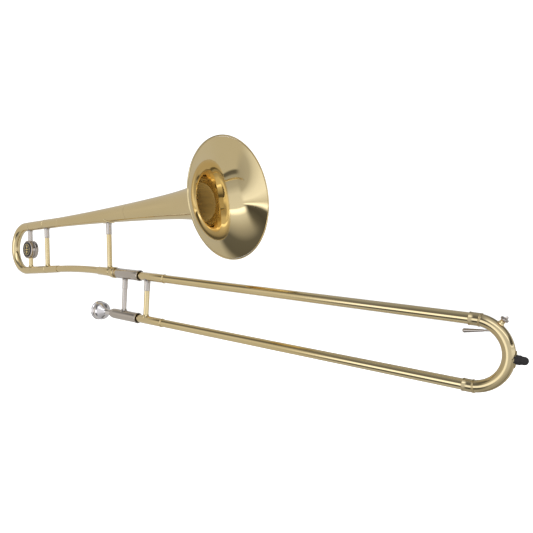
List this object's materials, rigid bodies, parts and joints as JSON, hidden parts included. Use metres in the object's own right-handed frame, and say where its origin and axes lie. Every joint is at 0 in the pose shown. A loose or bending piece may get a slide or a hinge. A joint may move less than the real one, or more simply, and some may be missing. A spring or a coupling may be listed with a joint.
{
  "type": "tenor trombone",
  "caption": "Slide trombone with a flared brass bell, hand slide, tuning slide with counterweight, water key and a removable mouthpiece.",
  "frame": {"origin": "middle of the inner slide brace, between the two slide tubes, where the left hand holds the instrument", "axes": "+X along the hand slide from the mouthpiece to the end bow, +Z from the mouthpiece tube to the bell tube, +Y away from the side the badge is on"},
  "size_m": [1.1631, 0.2032, 0.3494],
  "materials": {
    "lacquered_brass": "clear-lacquered, polished",
    "raw_brass": "drawn, unlacquered",
    "nickel_silver": "polished nickel silver",
    "chromed_tube": "chrome plated",
    "silver_plate": "bright silver plate",
    "cork_and_felt": "matt",
    "black_rubber": "matt",
    "black_enamel": "gloss enamel",
    "spring_steel": "plain"
  },
  "bodies": {
    "inner_slide": {"upper_inner_tube": "chromed_tube", "lower_inner_tube": "chromed_tube", "upper_stocking": "chromed_tube", "lower_stocking": "chromed_tube", "upper_cork": "cork_and_felt", "lower_cork": "cork_and_felt", "upper_cork_barrel": "nickel_silver", "slide_receiver": "nickel_silver", "lower_cork_barrel": "nickel_silver", "leadpipe": "raw_brass", "inner_brace_ferrule": "nickel_silver", "inner_brace_tube": "nickel_silver"},
    "bell_section": {"gooseneck": "lacquered_brass", "gooseneck_ferrule": "lacquered_brass", "gooseneck_tenon": "nickel_silver", "bell_stem": "lacquered_brass", "bell_flare": "lacquered_brass", "bell_rim_wire": "lacquered_brass", "upper_tuning_receiver": "lacquered_brass", "lower_tuning_receiver": "lacquered_brass", "rear_brace_ferrule": "nickel_silver", "rear_brace_tube": "lacquered_brass", "front_brace_ferrule": "nickel_silver", "front_brace_tube": "lacquered_brass", "brace_patch": "lacquered_brass"},
    "lock_nut": {"bell_lock_nut": "lacquered_brass"},
    "tuning_slide": {"tuning_crook": "lacquered_brass", "lower_crook_ferrule": "lacquered_brass", "upper_crook_ferrule": "lacquered_brass", "lower_tuning_leg": "nickel_silver", "upper_tuning_leg": "nickel_silver", "tuning_brace_upper": "nickel_silver", "tuning_brace_lower": "lacquered_brass", "counterweight_front": "nickel_silver", "counterweight_rear": "nickel_silver", "counterweight_screw": "spring_steel", "counterweight_badge": "black_enamel"},
    "mouthpiece": {"mouthpiece": "silver_plate"},
    "outer_slide": {"upper_outer_tube": "lacquered_brass", "lower_outer_tube": "lacquered_brass", "upper_slide_sleeve": "lacquered_brass", "lower_slide_sleeve": "lacquered_brass", "upper_bow_ferrule": "lacquered_brass", "lower_bow_ferrule": "lacquered_brass", "end_bow": "lacquered_brass", "outer_brace_ferrule": "nickel_silver", "outer_brace_tube": "lacquered_brass", "bow_guard": "lacquered_brass", "rubber_bumper": "black_rubber", "water_key_nipple": "lacquered_brass", "water_key_saddle": "lacquered_brass", "water_key_screw": "spring_steel", "water_key_spring": "spring_steel"},
    "water_key": {"water_key_lever": "nickel_silver", "water_key_cup": "nickel_silver", "water_key_cork": "cork_and_felt"}
  },
  "joints": [
    {"name": "hand_slide", "type": "slide", "parent": "inner_slide", "child": "outer_slide", "axis": [1, 0, 0], "range_m": [0, 0.56]},
    {"name": "water_key_hinge", "type": "hinge", "parent": "outer_slide", "child": "water_key", "pos_m": [0.69181, 0.0121, 0.03338], "axis": [-0.8141, 0, 0.5807], "range_deg": [0, 12], "stiffness_Nm_per_rad": 0.06, "springref_deg": -28.65},
    {"name": "bell_swivel", "type": "hinge", "parent": "inner_slide", "child": "bell_section", "pos_m": [-0.0289, 0, 0.041], "axis": [1, 0, 0], "range_deg": [0, 100]},
    {"name": "lock_nut_turn", "type": "hinge", "parent": "bell_section", "child": "lock_nut", "pos_m": [-0.0377, 0, 0.041], "axis": [-1, 0, 0], "range_deg": [0, 360]},
    {"name": "tuning_slide_pull", "type": "slide", "parent": "bell_section", "child": "tuning_slide", "axis": [-0.9948, 0, -0.1021], "range_m": [0, 0.04]},
    {"name": "mouthpiece_pull", "type": "slide", "parent": "inner_slide", "child": "mouthpiece", "axis": [-1, 0, 0], "range_m": [0, 0.036]}
  ]
}
